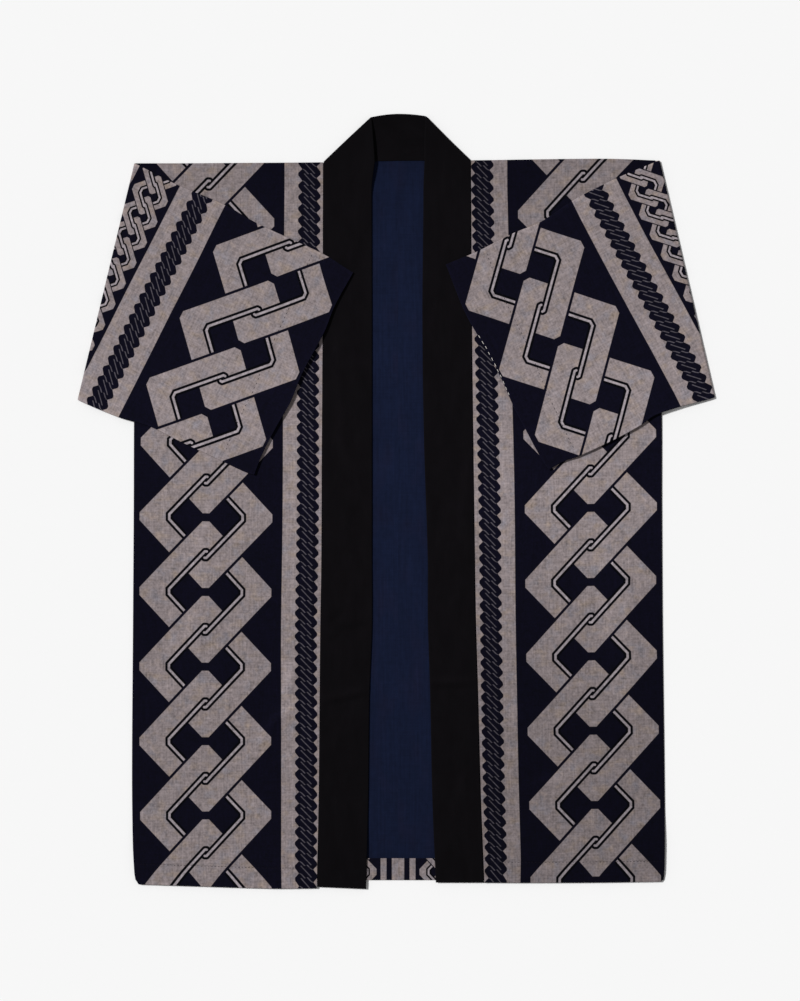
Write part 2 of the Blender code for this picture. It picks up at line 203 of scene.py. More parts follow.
# Where the colour changes: the same, with the noise at which the change starts and ends
COOL_PATCHES = (14, 16, 19, 0.0, 0.8)
WARM_PATCHES = (16, 12, 22, 0.0, 0.8)
INDIGO_PATCHES = (24, 60, 47, 0.0, 1.4)
WORN_PATCHES = (16, 40, 71, -1.0, 1.0)
NOISE_SPREAD = 3.2  # brings noise about 0.5 to about -1 to 1

# Camera, floor and light
SENSOR = 36.0  # millimetres, along the picture's long side
VIEW_CENTRE = (0.0045, 0.0009)
VIEW_LENGTH = 1.2112
CAMERA_HEIGHT = 3.5
CAMERA_REACH = 20
FLOOR_SIZE = 8.0
FLOOR_GAP = 0.0002
FLOOR_COLOUR = (0.9, 0.9, 0.9)
AMBIENT = 0.28
KEY_FROM = (-1.2, 0.6, 1.9)
KEY_STRENGTH = 2.90
KEY_SPREAD = 8  # degrees

# Colours, linear
NAVY = (0.0034, 0.0031, 0.0090)
GROOVE = (0.0012, 0.0013, 0.0028)
BEIGE = (0.261, 0.219, 0.223)
SLUB = (0.350, 0.300, 0.290)
BEIGE_COOL = (0.232, 0.212, 0.236)
BEIGE_WARM = (0.285, 0.226, 0.198)
LINE = (0.330, 0.290, 0.312)
STRAND = (0.095, 0.086, 0.102)
INDIGO = (0.0060, 0.0094, 0.0275)
INDIGO_WARM = (0.0090, 0.0098, 0.0270)
INDIGO_SLUB = (0.016, 0.020, 0.048)
BLACK = (0.0028, 0.0022, 0.0030)
BLACK_WORN = (0.0040, 0.0033, 0.0043)
HEM_THREAD = (0.0085, 0.0068, 0.0120)
WHITE_THREAD = (0.56, 0.53, 0.50)
BLACK_THREAD_COLOUR = (0.0052, 0.0044, 0.0056)
SPECULAR = 0.03
SHEEN = 0.01
SHEEN_ROUGHNESS = 0.6
SLUB_SHARE = 0.5
INDIGO_SLUB_SHARE = 0.35
WEAVE_SHADE = 0.06
PRINTED_WEAVE_SHADE = 0.05
THREAD_SHADES = (0.75, 1.25)
MATT = 0.85
COTTON_ROUGHNESS = 0.86
BLACK_ROUGHNESS = 0.84
PRINTED_UNEVEN = 0.4  # of the roughness, with the mottling
PLAIN_UNEVEN = 0.3

# How the edges lie
SIDE_ROLL = 0.0014  # how far in the side seam starts to roll down
SIDE_ROLL_START = 0.004  # below the armhole
NECK_TUCK = 0.0005  # how far the back's neck edge goes under the collar
NECK_TUCK_START = 0.1
NECK_TUCK_LENGTH = 0.03
TURN_UP_INSET = 0.0022
RELIEF_FADE = 0.014  # the creases die out over this distance from a side seam

SIGN = {"left": -1, "right": 1}  # of x
Pair = namedtuple("Pair", "left right")
Sides = namedtuple("Sides", "at left right")
Collar = namedtuple("Collar", "down left_seam left_free right_seam right_free")
SleeveEdge = namedtuple("SleeveEdge", "out top bottom")
Cuff = namedtuple("Cuff", "share out")
SleeveLift = namedtuple("SleeveLift", "share top middle bottom")
Sleeve = namedtuple("Sleeve", "tip_x tip_y fold_slope armhole_depth edges cuff lift mouth")
Crease = namedtuple("Crease", "x y angle length width height")
Lie = namedtuple("Lie", "down line slip tilt stretch")

# Tables give lengths in millimetres. Each column has its unit, 1 where it is not a length.
MM = 0.001
LENGTHS = (MM,) * 5
BY_SHARE = (1, MM, MM, MM)
PAINTED_LIGHT_UNITS = (MM, 1, 1)
CREASE_UNITS = (MM, MM, 1, MM, MM, MM)
LIE_UNITS = (MM, MM, MM, 1, 1)


def table(kind, units, rows):
    return [kind(*(number * unit for number, unit in zip(row, units))) for row in rows]


# By distance down the coat: how far out each side edge is
SIDE_EDGES = table(Sides, LENGTHS, [
    (0, 314.4, 311.3), (285, 319.1, 318.8), (420, 319.7, 319.2), (560, 320.6, 320), (740, 321.8, 322.2),
    (820, 320.8, 322.8), (856, 319, 322.2), (865, 317.8, 321.4), (870, 315.8, 320), (876, 311, 316),
])
# By distance out: how far the shoulder line lies above y = 0. It fades out down the body.
SHOULDER_RISE = table(Sides, LENGTHS, [
    (0, 3, 3), (90, 1.2, 3.6), (200, 0.4, 5.2), (260, 0, 5.4), (320, 0, 3),
])
SHOULDER_RISE_FADE = 0.30
# By share across a front, from the side: how much further down its hem lies
FRONT_HEM_DROP = table(Sides, BY_SHARE, [(0, -1, -4.4), (0.35, 1.4, -3.4), (0.75, 4, -3), (1, 3.6, -3.2)])
# By distance down the coat: how far out the seam and the free edge of each leg of the collar are
COLLAR_LEGS = table(Collar, LENGTHS, [
    (0, 90.7, 28.3, 88.3, 32.5), (30, 90.8, 32, 88.5, 31.2), (60, 90.9, 32.2, 88.7, 31),
    (190, 91.2, 31.9, 89.5, 29.9), (335, 92.1, 31.9, 91.2, 31.8), (480, 92.8, 31.9, 93.2, 36.4),
    (555, 94, 31.8, 94.4, 36.5), (640, 94.8, 35, 96.9, 39.2), (770, 96.1, 36.6, 100.4, 41.9),
    (880, 98.4, 39.2, 104.7, 46.4),
])
# Over the back of the neck: how far out each leg leans at its top, how far the top corners lie out and
# down, how far the middle rises, and how high the free edges puff up beside the neck
NECK_LEAN = Pair(0.0038, -0.0022)
NECK_CORNER_OUT = Pair(0.0006, 0.0041)
NECK_CORNER_DROP = 0.0032
NECK_CROWN = 0.0008
NECK_TOP_HALF = 0.031
NECK_PUFF = Pair(0.0042, 0.0012)
NECK_PUFF_REACH = 0.045
NECK_PUFF_MIDDLE = COLLAR_WIDTH / 4
NECK_PUFF_START = 0.55  # as a share across the leg
COLLAR_LEG_LENGTH = Pair(0.8752, 0.870)
COLLAR_LEG_SLANT = Pair(0.0026, 0.0)  # how much further down its free edge goes

CUFF_HEM = Pair(0.054, 0.051)  # from the cuff to the line of sewing
# Sleeves before they are folded over, out and down from the shoulder's tip: their top and bottom edges by
# distance out, their cuffs by share down, and how far they stand up by share towards the cuff
SLEEVE_LEFT = Sleeve(
    tip_x=0.3188, tip_y=0.0, fold_slope=0.2400, armhole_depth=0.2845, mouth=0.0026,
    edges=table(SleeveEdge, LENGTHS, [
        (-6, 0, 284.5), (56, 0, 286.8), (120, -4.5, 282.8), (160, -2.4, 275.5), (206, -3.7, 274.8),
        (254, -5.5, 273.2), (288, -2.6, 272.2), (304, -1.4, 269.6),
    ]),
    cuff=table(Cuff, BY_SHARE, [
        (0, 295), (0.17, 293.6), (0.29, 296.6), (0.5, 295.5), (0.64, 298.6), (0.75, 297.1), (0.85, 296.4),
        (0.93, 297.2), (1, 299.3),
    ]),
    lift=table(SleeveLift, BY_SHARE, [
        (0, 0, 0, 0), (0.4, 0.6, 0.3, 1), (0.7, 1, 0, 1.4), (1, 0.4, 0.3, 1.8),
    ]),
)
SLEEVE_RIGHT = Sleeve(
    tip_x=0.3166, tip_y=0.0030, fold_slope=0.2330, armhole_depth=0.2872, mouth=0.0030,
    edges=table(SleeveEdge, LENGTHS, [
        (-6, 0, 287.2), (55, -3.8, 287.8), (112, -3.4, 277.5), (142, 0.6, 273.8), (162, 3, 277),
        (197, 0.6, 278.4), (245, 1.2, 277.5), (262, 0.2, 275.2), (276, -0.8, 275.4), (290, -1.8, 277.8),
    ]),
    cuff=table(Cuff, BY_SHARE, [
        (0, 287), (0.17, 291), (0.28, 291.4), (0.42, 288.4), (0.55, 288), (0.69, 289.3), (0.82, 288.4),
        (0.93, 287.3), (1, 284.8),
    ]),
    lift=table(SleeveLift, BY_SHARE, [
        (0, 0, 0, 0), (0.3, 0.4, 0.6, 3), (0.7, 1.2, 0, 3.4), (1, 0.6, 1, 1.6),
    ]),
)
SLEEVES = {"left": SLEEVE_LEFT, "right": SLEEVE_RIGHT}

# Where the print lies. On the flat cut the big chain's middle is at u = 0, and one of its links at v = 0.
# u grows towards the centre of the coat, or up the sleeve from the cuff. The cloth is a little askew and
# uneven. By distance down a front, or down a sleeve from its top edge: how far out the big chain's middle
# is, how far the print has slipped along, its tilt and its stretch.
BODY_PRINT = {
    "left": table(Lie, LIE_UNITS, [
        (30, 228.9, 2.4, 0.032, 1), (280, 230.5, -0.3, 0.011, 1.002), (380, 231.8, -0.6, 0.006, 0.991),
        (460, 232.5, -0.6, 0, 0.991), (560, 233.1, -0.5, -0.009, 1), (680, 233.1, -0.5, -0.029, 0.998),
        (840, 232.3, -1.2, -0.04, 1.006), (857, 232.1, -0.6, -0.04, 1.006), (875, 231.8, 1.6, -0.042, 1.006),
    ]),
    "right": table(Lie, LIE_UNITS, [
        (30, 223.7, 11.3, 0.008, 1), (280, 230.6, 4.6, 0.011, 0.99), (400, 233, 3.4, 0.017, 0.994),
        (550, 233.1, 3.6, 0.024, 1.008), (640, 235, 4.1, 0.014, 1.004), (740, 237, 4.3, 0.006, 1.003),
        (840, 239.1, 4.3, 0.003, 1.008), (857, 239, 4.6, 0.003, 1.008), (875, 238.8, 6.4, 0.003, 1.008),
    ]),
}
SLEEVE_PRINT = {
    "left": table(Lie, LIE_UNITS, [
        (20, 210.7, 5.4, 0.008, 1.016), (80, 212.7, 6.2, 0.008, 1.003), (140, 212.7, 6, 0.013, 1.001),
        (200, 213.1, 6, 0.015, 1.001), (260, 213.8, 5.9, 0.019, 0.995),
    ]),
    "right": table(Lie, LIE_UNITS, [
        (20, 208.4, -0.3, 0.043, 0.999), (80, 206.8, 1.3, 0.044, 0.999), (140, 205.3, 1.5, 0.041, 0.991),
        (200, 202.7, 2, 0.044, 0.992), (260, 200.5, 2.2, 0.054, 0.994),
    ]),
}
BACK_PRINT = table(Lie, LIE_UNITS, [(0, 228.6, 1.2, 0, 1), (1000, 228.6, 1.2, 0, 1)])
BACK_PRINT_FADE = 0.35
FRONT_LINK = Pair(0.518, 0.595)  # how far down the front one link has its middle
SLEEVE_LINK = Pair(0.1253, 0.0363)
# Painted light and shade, by distance down the coat: how light each side of the cloth is painted, darker
# towards the neck and the hem and most at the lower right, where less light falls
FRONT_PAINTED_LIGHT = table(Sides, PAINTED_LIGHT_UNITS, [
    (0, 0.8, 0.76), (60, 0.89, 0.82), (120, 0.94, 0.91), (300, 0.98, 0.98), (400, 0.95, 1),
    (480, 0.9, 0.91), (560, 0.87, 0.83), (640, 0.87, 0.75), (740, 0.84, 0.7), (840, 0.85, 0.67),
])
# Painted light and shade on the back, the sleeves and the collar, by distance down the coat
BACK_PAINTED_LIGHT = table(Sides, PAINTED_LIGHT_UNITS, [(0, 0.85, 0.85), (140, 1, 1), (500, 0.96, 0.96), (860, 0.82, 0.8)])
SLEEVE_PAINTED_LIGHT = table(Sides, PAINTED_LIGHT_UNITS, [
    (100, 0.94, 0.94), (200, 0.98, 0.98), (300, 1.04, 1.04), (380, 0.93, 0.93),
])
COLLAR_PAINTED_LIGHT = table(Sides, PAINTED_LIGHT_UNITS, [(-60, 0.75, 0.75), (80, 1, 1), (500, 1, 1), (860, 0.8, 0.78)])
EDGE_WEAR = 0.15  # how much lighter the cloth is along its edges
EDGE_WEAR_WIDTH = 0.0014
CREASE_SHADE_AND_WEAR = 130.0  # how much lighter the cloth is per metre of a crease's height: a ridge worn lighter with painted light, a trough darkened with painted shade


def between(low, high, share):
    return low + (high - low) * share


def ease(share):
    """0 to 1 with no sudden start or stop."""
    share = np.clip(share, 0.0, 1.0)
    return share * share * (3 - 2 * share)


def rise(at, start, end):
    """0 at the start to 1 at the end."""
    return ease((at - start) / (end - start))


def bell(distance, width, power=2):
    """1 at no distance, falling to 0 on both sides."""
    return np.exp(-((distance / width) ** power))


def value(rows, at, column):
    """A column of a table at an array of distances, on a smooth curve through its rows."""
    keys = np.array([row[0] for row in rows])
    points = np.array([getattr(row, column) for row in rows])
    before = np.maximum(np.arange(len(keys)) - 1, 0)
    after = np.minimum(np.arange(len(keys)) + 1, len(keys) - 1)
    slope = (points[after] - points[before]) / (keys[after] - keys[before])
    at = np.clip(at, keys[0], keys[-1])
    low = np.clip(np.searchsorted(keys, at, side="right") - 1, 0, len(keys) - 2)
    span = keys[low + 1] - keys[low]
    t = (at - keys[low]) / span
    return (
        (1 + 2 * t) * (1 - t) ** 2 * points[low]
        + t * (1 - t) ** 2 * span * slope[low]
        + t * t * (3 - 2 * t) * points[low + 1]
        + t * t * (t - 1) * span * slope[low + 1]
    )


def added(name, data):
    """A new object, in the scene."""
    made = bpy.data.objects.new(name, data)
    bpy.context.scene.collection.objects.link(made)
    return made


def fold_over(out, z, height, bend):
    """Where points go when the cloth beyond a line is folded back over the top."""
    arc = math.pi * bend
    angle = np.clip(out, 0, arc) / bend
    radius = height - z
    moved = np.where(out <= 0, out, np.where(out < arc, radius * np.sin(angle), arc - out))
    raised = np.where(out <= 0, z, np.where(out < arc, height - radius * np.cos(angle), 2 * height - z))
    return moved, raised


def stations(start, end, spacing=GRID):
    """Evenly spaced places from start to end, with both ends."""
    count = max(2, round(abs(end - start) / spacing) + 1)
    return np.linspace(start, end, count)


def joined(*runs):
    """Runs of stations as one, with the ends that they share kept once."""
    return np.unique(np.round(np.concatenate(runs), PLACES))


# Creases in the fronts, in the back and in the collar: middle, direction in degrees from +X, length,
# width and height. A trough has a negative height.
FRONT_CREASES = table(Crease, CREASE_UNITS, [
    (-131.5, -622, 78, 50, 5, 2.4), (-135.5, -663, 42, 40, 5, 2.4), (-158, -684, 58, 60, 5.8, 1.6),
    (-126, -712, 35, 36, 4.8, 1.5), (141, -659, 4, 26, 4.2, 1.8), (143, -669, -8, 22, 4, 1.6),
    (190, -742, 18, 70, 8, 1.6), (-245, -520, 82, 190, 15, 0.8), (262, -560, 97, 210, 16, 0.9),
    (-205, -780, 12, 110, 10, 0.6), (250, -690, 8, 90, 9, -0.5), (-120, -420, 88, 240, 14, 0.7),
    (128, -440, 92, 200, 13, 0.6), (-285, -640, 40, 50, 7, 0.6),
])
BACK_CREASES = table(Crease, CREASE_UNITS, [
    (-180, -250, 85, 230, 12, 0.5), (150, -330, 96, 180, 11, 0.5), (-90, -560, 70, 130, 8, 0.4),
    (210, -610, 64, 100, 7, 0.5), (-240, -700, 20, 90, 6, 0.4), (80, -740, 12, 70, 6, 0.4),
    (12, -300, 89, 300, 6, 0.3), (-16, -640, 93, 170, 5, 0.3),
])
COLLAR_CREASES = table(Crease, CREASE_UNITS, [
    (-68, -870.2, -2, 80, 0.7, 0.5), (-68, -873.4, -2, 80, 0.7, 0.4), (75, -866.2, 1, 80, 0.7, 0.4),
    (-75, -548, 45, 20, 4, -1.4), (-54.5, -560, 11, 36, 3.6, -1.4), (-74, -572, 30, 20, 4, -1.4),
    (-62, -641, 12, 50, 4.2, 1.8), (-62, -649, 12, 50, 3, -1.2), (65, -625, 2, 54, 4, 1.8),
    (65, -633, 2, 54, 3, -1.2), (60, -30, 40, 40, 4, 1.4), (78, -420, 84, 120, 7, 1.4),
    (-70, -300, 95, 140, 7, 1.4), (74, -760, 70, 60, 5, 1),
])


def relief(creases, x, y):
    """Height of the creases at points of the coat."""
    height = np.zeros(np.broadcast(x, y).shape)
    for crease in creases:
        cos, sin = math.cos(math.radians(crease.angle)), math.sin(math.radians(crease.angle))
        along = (x - crease.x) * cos + (y - crease.y) * sin
        across = (y - crease.y) * cos - (x - crease.x) * sin
        fade = bell(2 * along, crease.length, 4)
        height = height + crease.height * fade * bell(across, crease.width)
    return height


def shoulder_rise(x, side, down):
    return value(SHOULDER_RISE, np.abs(x), side) * (1 - ease(down / SHOULDER_RISE_FADE))


def front_relief(x, y, side):
    """Height of the front's creases, which die out at the side seam. x is signed."""
    from_side = value(SIDE_EDGES, -y, side) - np.abs(x)
    return relief(FRONT_CREASES, x, y) * ease(from_side / RELIEF_FADE)


def half_round(distance, radius):
    """0 at an edge, rising on a quarter circle to 1 at a distance of the radius from it."""
    return np.sqrt(np.clip(1 - (1 - np.clip(distance / radius, 0, 1)) ** 2, 0, 1))


def painted_light_and_wear(lightness, down, side, from_edge, height=0.0):
    """How light the cloth is: painted light and shade by distance down the coat, wear that lightens it near
    an edge, and by a crease's height wear with painted light on a ridge and painted shade in a trough.
    """
    edge = EDGE_WEAR * bell(from_edge, EDGE_WEAR_WIDTH)
    return value(lightness, down, side) * (1 + edge + CREASE_SHADE_AND_WEAR * height)


def shell(name, outside, inside, cut, tone, present=None, wrap=False):
    """A shell of cloth from rows and columns of points on its two faces, their places on the cut, and the
    painted light and shade with edge wear at each point.

    wrap makes the last column the first again, as in a tube. present says which cells exist.
    """
    rows, columns = cut.shape[:2]
    distinct = columns - 1 if wrap else columns
    number = np.arange(rows)[:, None] * distinct + np.arange(columns)[None, :] % distinct
    cells = np.ones((rows - 1, columns - 1), bool) if present is None else present
    padded = np.pad(cells, 1)
    if wrap:
        padded[:, 0], padded[:, -1] = padded[:, -2], padded[:, 1]
    i, j = np.nonzero(cells)
    ring = [(i, j), (i, j + 1), (i + 1, j + 1), (i + 1, j)]
    beyond = [padded[i, j + 1], padded[i + 1, j + 2], padded[i + 2, j + 1], padded[i + 1, j]]
    count = rows * distinct

    def quads(corners, faces):
        points = [number[corner] + face * count for corner, face in zip(corners, faces)]
        return np.stack(points, 1), np.stack([cut[corner] for corner in corners], 1)

    parts = [quads(ring, (0, 0, 0, 0)), quads(ring[::-1], (1, 1, 1, 1))]
    for side, neighbour in enumerate(beyond):
        a, b = (tuple(index[~neighbour] for index in ring[corner % 4]) for corner in (side, side + 1))
        parts.append(quads([b, a, a, b], (0, 0, 1, 1)))
    faces, places = (np.concatenate([part[kind] for part in parts]) for kind in (0, 1))
    slots = np.zeros(len(faces), int)
    slots[len(i):2 * len(i)] = 1

    points = np.concatenate([side[:, :distinct].reshape(-1, 3) for side in (outside, inside)])
    used, faces = np.unique(faces, return_inverse=True)
    faces = faces.reshape(-1, 4)
    points = points[used]
    lightness = np.broadcast_to(tone, cut.shape[:2])[:, :distinct].reshape(-1)
    a, b, c, d = (points[faces[:, k]] for k in range(4))
    volume = np.einsum("ij,ij->", a, np.cross(b, c)) + np.einsum("ij,ij->", a, np.cross(c, d))
    if volume < 0:
        faces, places = faces[:, ::-1], places[:, ::-1]

    mesh = bpy.data.meshes.new(name)
    mesh.from_pydata(points.tolist(), [], faces.tolist())
    layer = mesh.uv_layers.new(name=CUT_MAP)
    layer.data.foreach_set("uv", places.reshape(-1))
    # The painted light and shade, with the edges' wear, go to the material as a point attribute
    mesh.attributes.new(LIGHT_AND_WEAR_ATTRIBUTE, "FLOAT", "POINT").data.foreach_set("value", np.tile(lightness, 2)[used])
    mesh.polygons.foreach_set("material_index", slots)
    mesh.shade_smooth()
    mesh.set_sharp_from_angle(angle=math.radians(SHARP_ANGLE))
    return added(name, mesh)


def panel_down(along):
    """Distance down the coat from the place along a panel."""
    return np.abs(along - (SHOULDER + PANEL_ARC / 2))


def panel_edges(side, down, front):
    """How far out a panel's side edge is, and its edge at the collar or the neck."""
    inner = value(COLLAR_LEGS, np.where(front, down, 0.0), side + "_seam")
    return value(SIDE_EDGES, down, side), inner


def panel_point(side, along, share, depth):
    """Points of a body panel, from the place along it, the share across it and the depth into the cloth.

    The share is 0 at the side, 1 at the neck or collar seam and 2 at the centre back.
    """
    sign, front = SIGN[side], along > SHOULDER
    turned_up = (along - FRONT_FOLD > PANEL_ARC / 2) | (BACK_FOLD - along > PANEL_ARC / 2)
    y, z = along, depth
    for fold, way in ((FRONT_FOLD, 1), (BACK_FOLD, -1), (SHOULDER, 1)):
        past, z = fold_over(way * (y - fold), z, FOLD_HEIGHT, PANEL_BEND)
        y = fold + way * past
    down = -y
    edge, inner = panel_edges(side, down, front)
    x = np.where(share <= 1, between(edge, inner, share), between(inner, 0.0, share - 1))
    from_side = edge - x
    x = x - np.where(turned_up, TURN_UP_INSET * np.clip(1 - share, 0, 1), 0)
    stack = HEM_STACK * rise(down, *HEM_RAMP)
    z = z + np.where(front, stack, 0)
    drop = value(FRONT_HEM_DROP, share, side) * ease(down / FRONT_LENGTH)
    y = y - np.where(front, drop, 0)
    y = y + shoulder_rise(x, side, down)
    at_neck = ease((share - 1) / NECK_TUCK_START) * (1 - ease(down / NECK_TUCK_LENGTH))
    y = y + at_neck * (FOLD_HEIGHT + NECK_TUCK)

    # Below the armhole the front and the back roll together into the side seam
    armhole = SLEEVES[side].armhole_depth
    sewn = ease((down - armhole) / SIDE_ROLL_START) * ~turned_up
    middle = FOLD_HEIGHT + stack / 2
    rolled = middle + (z - middle) * half_round(from_side - depth, SIDE_ROLL)
    z = between(z, rolled, sewn)

    lift = np.where(front, front_relief(sign * x, y, side), relief(BACK_CREASES, sign * x, y))
    groove = HEM_GROOVE * bell(down - (FRONT_LENGTH - FRONT_TURN_UP), HEM_GROOVE_WIDTH)
    lift = lift - np.where(front & ~turned_up, groove, 0)
    lift = lift * ease(from_side / RELIEF_FADE) * ease(down / RELIEF_FADE)
    return np.stack([sign * x, y, z + lift], -1)


def printed_at(lies, down, out, along):
    """Where points are on the print, by how far down and out they are, and along from a link."""
    line, slip, tilt, stretch = (value(lies, down, column) for column in Lie._fields[1:])
    u = (line - out) * stretch
    return np.stack(np.broadcast_arrays(u, along - slip - tilt * u), -1)


def panel_cut(side, along, share):
    """Where points of a body panel are on the printed cloth."""
    down, front = panel_down(along), along > SHOULDER
    edge, inner = panel_edges(side, down, front)
    out = np.where(share <= 1, between(edge, inner, share), between(inner, SEAM / 2, share - 1))
    along = along - FRONT_START - getattr(FRONT_LINK, side)
    flat = printed_at(BODY_PRINT[side], np.where(front, down, 0.0), out, along)
    fade = np.where(front, 0.0, ease(down / BACK_PRINT_FADE))[..., None]
    return between(flat, printed_at(BACK_PRINT, down, out, along), fade) * (1, -SIGN[side])


def body_panel(side):
    """One body panel: back hem, back, over the shoulder, front, front hem."""
    back_end = BACK_FOLD - PANEL_ARC - BACK_TURN_UP + FOLD_HEIGHT
    front_end = FRONT_FOLD + PANEL_ARC + FRONT_TURN_UP - FOLD_HEIGHT
    bend = np.linspace(0, PANEL_ARC, BEND_STEPS + 1)
    along = joined(
        stations(back_end, BACK_FOLD - PANEL_ARC),
        BACK_FOLD - bend,
        stations(BACK_FOLD, SHOULDER, BACK_GRID),
        SHOULDER + bend,
        stations(SHOULDER + PANEL_ARC, FRONT_FOLD),
        FRONT_START + FRONT_LENGTH - FRONT_TURN_UP + GROOVE_STATIONS * HEM_GROOVE_WIDTH,
        FRONT_FOLD + bend,
        stations(FRONT_FOLD + PANEL_ARC, front_end),
    )
    width = SIDE_EDGES[0].left - COLLAR_LEGS[0].left_seam
    near_edge = np.array(EDGE_STATIONS) / width
    to_seam = stations(near_edge[-1], 1.0, GRID / width)
    share = joined(near_edge, to_seam, stations(1.0, 2.0, BACK_GRID / NECK_HALF))
    along, share = np.meshgrid(along, share, indexing="ij")
    present = (along[1:, 1:] <= SHOULDER + NEARLY) | (share[1:, 1:] <= 1 + NEARLY)
    outside, inside = (panel_point(side, along, share, depth) for depth in (0.0, SHELL))
    down = panel_down(along)
    from_front, from_back = (
        np.minimum(share * width, np.abs(down - length)) for length in (FRONT_LENGTH, BACK_LENGTH)
    )
    # Painted light and shade down the coat and along the creases, with wear along the edges
    creases = relief(FRONT_CREASES, outside[..., 0], outside[..., 1])
    front = painted_light_and_wear(FRONT_PAINTED_LIGHT, down, side, from_front, creases)
    back = painted_light_and_wear(BACK_PAINTED_LIGHT, down, side, from_back)
    tone = np.where(along > SHOULDER, front, back)
    return shell("cloth_body_" + side, outside, inside, panel_cut(side, along, share), tone, present)


def edge_point(cut, edge, start):
    """Where lines along the fold, from these distances out, meet the top or bottom edge."""
    out = start
    for _ in range(EDGE_ROUNDS):
        out = start + cut.fold_slope * value(cut.edges, out, edge)
    return out


def sleeve_columns(side):
    """Rows of a sleeve, armhole to cuff: top end, bottom end and share of the way to the cuff."""
    cut = SLEEVES[side]
    past = np.linspace(0, math.pi * SLEEVE_BEND, SLEEVE_BEND_STEPS + 1)
    ends = []
    for edge, depth in (("top", 0.0), ("bottom", cut.armhole_depth)):
        root = value(SIDE_EDGES, depth, side) + SEAM - cut.tip_x
        fold = edge_point(cut, edge, (past - SLEEVE_FOLD_HEIGHT) * math.hypot(1, cut.fold_slope))
        ends.append(np.concatenate([np.linspace(root, fold[0], SLEEVE_ROOT_STEPS + 1)[:-1], fold]))
    top, bottom = ends
    beyond = stations(top[-1], cut.cuff[0].out)[1:]
    share = np.linspace(0, 1, len(beyond) + 1)[1:]
    toward_cuff = np.concatenate([np.zeros(len(top)), share])
    bottom = np.concatenate([bottom, between(bottom[-1], cut.cuff[-1].out, share)])
    return np.concatenate([top, beyond]), bottom, toward_cuff


def sleeve_flat(side, row, share, turn, radius):
    """Points of a sleeve laid flat, before it is folded over: out and down from the tip, and height."""
    cut = SLEEVES[side]
    top_out, bottom_out, toward_cuff = row
    top_down, bottom_down = value(cut.edges, top_out, "top"), value(cut.edges, bottom_out, "bottom")
    width = np.hypot(bottom_out - top_out, bottom_down - top_down)
    beside = np.cos(turn) * radius * np.where(share > 0.5, 1, -1)
    at = (FOLD_HEIGHT + share * (width - 2 * FOLD_HEIGHT) + beside) / width
    out, down = between(top_out, bottom_out, at), between(top_down, bottom_down, at)
    straight = between(cut.cuff[0].out, cut.cuff[-1].out, share)
    out = out + (value(cut.cuff, share, "out") - straight) * toward_cuff**2
    return out, down, FOLD_HEIGHT + np.sin(turn) * radius


def sleeve_point(side, row, share, turn, depth, at_armhole=False):
    """Points of a sleeve as it lies, from its row, its place round the tube and the depth into the cloth."""
    cut, sign = SLEEVES[side], SIGN[side]
    length = math.hypot(1, cut.fold_slope)
    out, down, z = sleeve_flat(side, row, share, turn, FOLD_HEIGHT - depth)
    out = np.where(at_armhole, value(SIDE_EDGES, down, side) + SEAM - cut.tip_x, out)
    past = (out - cut.fold_slope * down) / length + SLEEVE_FOLD_HEIGHT
    moved, z = fold_over(past, z, SLEEVE_FOLD_HEIGHT, SLEEVE_BEND)
    out = out + (moved - past) / length
    down = down - (moved - past) * cut.fold_slope / length
    x, y = cut.tip_x + out, cut.tip_y - down
    toward_cuff = row[2]
    lift = sleeve_lift(cut, toward_cuff, share, x, turn) + front_relief(sign * x, y, side)
    return np.stack([sign * x, y, z + np.where(toward_cuff > 0, lift, 0)], -1)


def sleeve_lift(cut, toward_cuff, share, x, turn):
    """How far points of a folded sleeve stand above where they would lie flat."""
    top, middle, bottom = (value(cut.lift, toward_cuff, part) for part in SleeveLift._fields[1:])
    crown = np.sin(math.pi * share)
    lift = between(between(top, bottom, share), middle, crown) + COLLAR_STEP * rise(x, *COLLAR_STEP_OUT)
    upper_wall = (1 - np.sin(turn)) / 2
    return lift + cut.mouth * toward_cuff**3 * crown * upper_wall


def sleeve_section():
    """Once round the tube from the bottom edge: the rear wall, the top edge and the front wall.

    Gives the share down the wall, and the angle round the bend, -90 degrees on the rear wall.
    """
    turns = np.radians(np.arange(0, 90, TURN_STEP))
    share = stations(0.0, 1.0, GRID / SLEEVE_LEFT.armhole_depth)
    wall = np.full(len(share), math.pi / 2)
    bend = np.concatenate([-turns[:0:-1], turns])
    end = np.ones(len(turns))
    shares = np.concatenate([end, share[::-1], np.zeros(len(bend)), share, end])
    return shares, np.concatenate([-turns, -wall, bend, wall, turns[::-1]])


def sleeve_cut(side, row, share, turn):
    """Where points of a sleeve are on the printed cloth. The wall that shows when folded keeps its shape."""
    out, down, _ = sleeve_flat(side, row, share, turn, FOLD_HEIGHT)
    top_down = value(SLEEVES[side].edges, row[0], "top")
    wall = np.where(np.arange(share.size) > share.size // 2, 1, -1)
    along = wall * (down - top_down) - top_down
    return printed_at(SLEEVE_PRINT[side], -along, out, along - getattr(SLEEVE_LINK, side)) * (1, -SIGN[side])


def sleeve_tube(side):
    """One sleeve: a flat tube, folded on a slant from the shoulder tip back over the front."""
    row = [column[:, None] for column in sleeve_columns(side)]
    top_out, _, toward_cuff = row
    share, turn = (column[None, :] for column in sleeve_section())
    at_armhole = np.arange(len(top_out))[:, None] == 0
    outside, inside = (sleeve_point(side, row, share, turn, depth, at_armhole) for depth in (0.0, SHELL))
    from_edge = np.minimum(np.minimum(share, 1 - share), 1 - toward_cuff) * np.ptp(top_out)
    # Painted light and shade down the sleeve, with wear along its edges
    tone = painted_light_and_wear(SLEEVE_PAINTED_LIGHT, -outside[..., 1], side, from_edge)
    cut = sleeve_cut(side, row, share, turn)
    return shell("cloth_sleeve_" + side, outside, inside, cut, tone, wrap=True)


